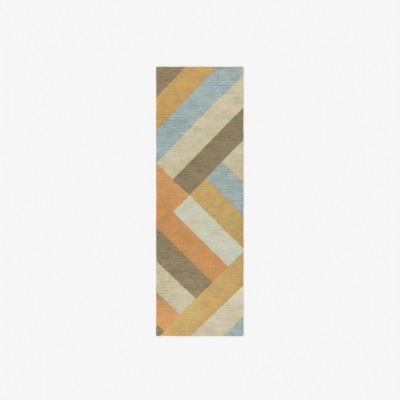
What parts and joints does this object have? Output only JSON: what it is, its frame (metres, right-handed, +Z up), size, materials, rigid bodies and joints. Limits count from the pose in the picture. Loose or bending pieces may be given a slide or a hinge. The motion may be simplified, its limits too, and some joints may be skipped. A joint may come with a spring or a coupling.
{
  "type": "runner rug",
  "caption": "Narrow tufted wool runner with diagonal colour fields in cut pile, a folded-under cloth hem, a latex coat, a canvas backing and mitred binding tapes.",
  "frame": {"origin": "middle of the underside, on the floor", "axes": "+Y along the runner towards its head end (the end with the brown and gold corner), +X to the right seen from above with the head end up, +Z up out of the pile"},
  "size_m": [0.68, 2.1, 0.014],
  "materials": {
    "wool_brown": "matte cut wool pile, taupe brown",
    "wool_gold": "matte cut wool pile, gold",
    "wool_blue": "matte cut wool pile, grey blue",
    "wool_cream": "matte cut wool pile, cream",
    "wool_mint": "matte cut wool pile, pale mint",
    "wool_orange": "matte cut wool pile, burnt orange",
    "wool_ochre": "matte cut wool pile, lighter gold",
    "wool_beige": "matte cut wool pile, beige",
    "primary_cotton": "plain woven cotton, unbleached",
    "latex": "dried latex compound, chalky",
    "cotton_canvas": "coarse cotton canvas, natural",
    "twill_tape": "cotton twill tape, natural",
    "sewing_thread": "waxed cotton sewing thread"
  },
  "bodies": {
    "root": {"pile_brown_top_corner": "wool_brown", "pile_gold_upper_band": "wool_gold", "pile_blue_upper_band": "wool_blue", "pile_cream_upper_band": "wool_cream", "pile_brown_upper_band": "wool_brown", "pile_cream_side_triangle": "wool_cream", "pile_blue_side_band": "wool_blue", "pile_gold_side_band": "wool_gold", "pile_mint_bar": "wool_mint", "pile_orange_ell": "wool_orange", "pile_brown_lower_band": "wool_brown", "pile_cream_lower_band": "wool_cream", "pile_orange_lower_wedge": "wool_orange", "pile_brown_bottom_corner": "wool_brown", "pile_gold_long_band": "wool_ochre", "pile_beige_lower_band": "wool_beige", "pile_blue_bottom_corner": "wool_blue", "primary_cloth": "primary_cotton", "latex_coat": "latex", "canvas_backing": "cotton_canvas", "binding_tape_left": "twill_tape", "binding_tape_right": "twill_tape", "binding_tape_head": "twill_tape", "binding_tape_foot": "twill_tape", "edge_stitch_left": "sewing_thread", "edge_stitch_right": "sewing_thread", "edge_stitch_head": "sewing_thread", "edge_stitch_foot": "sewing_thread", "tape_stitch_left": "sewing_thread", "tape_stitch_right": "sewing_thread", "tape_stitch_head": "sewing_thread", "tape_stitch_foot": "sewing_thread"}
  },
  "joints": []
}
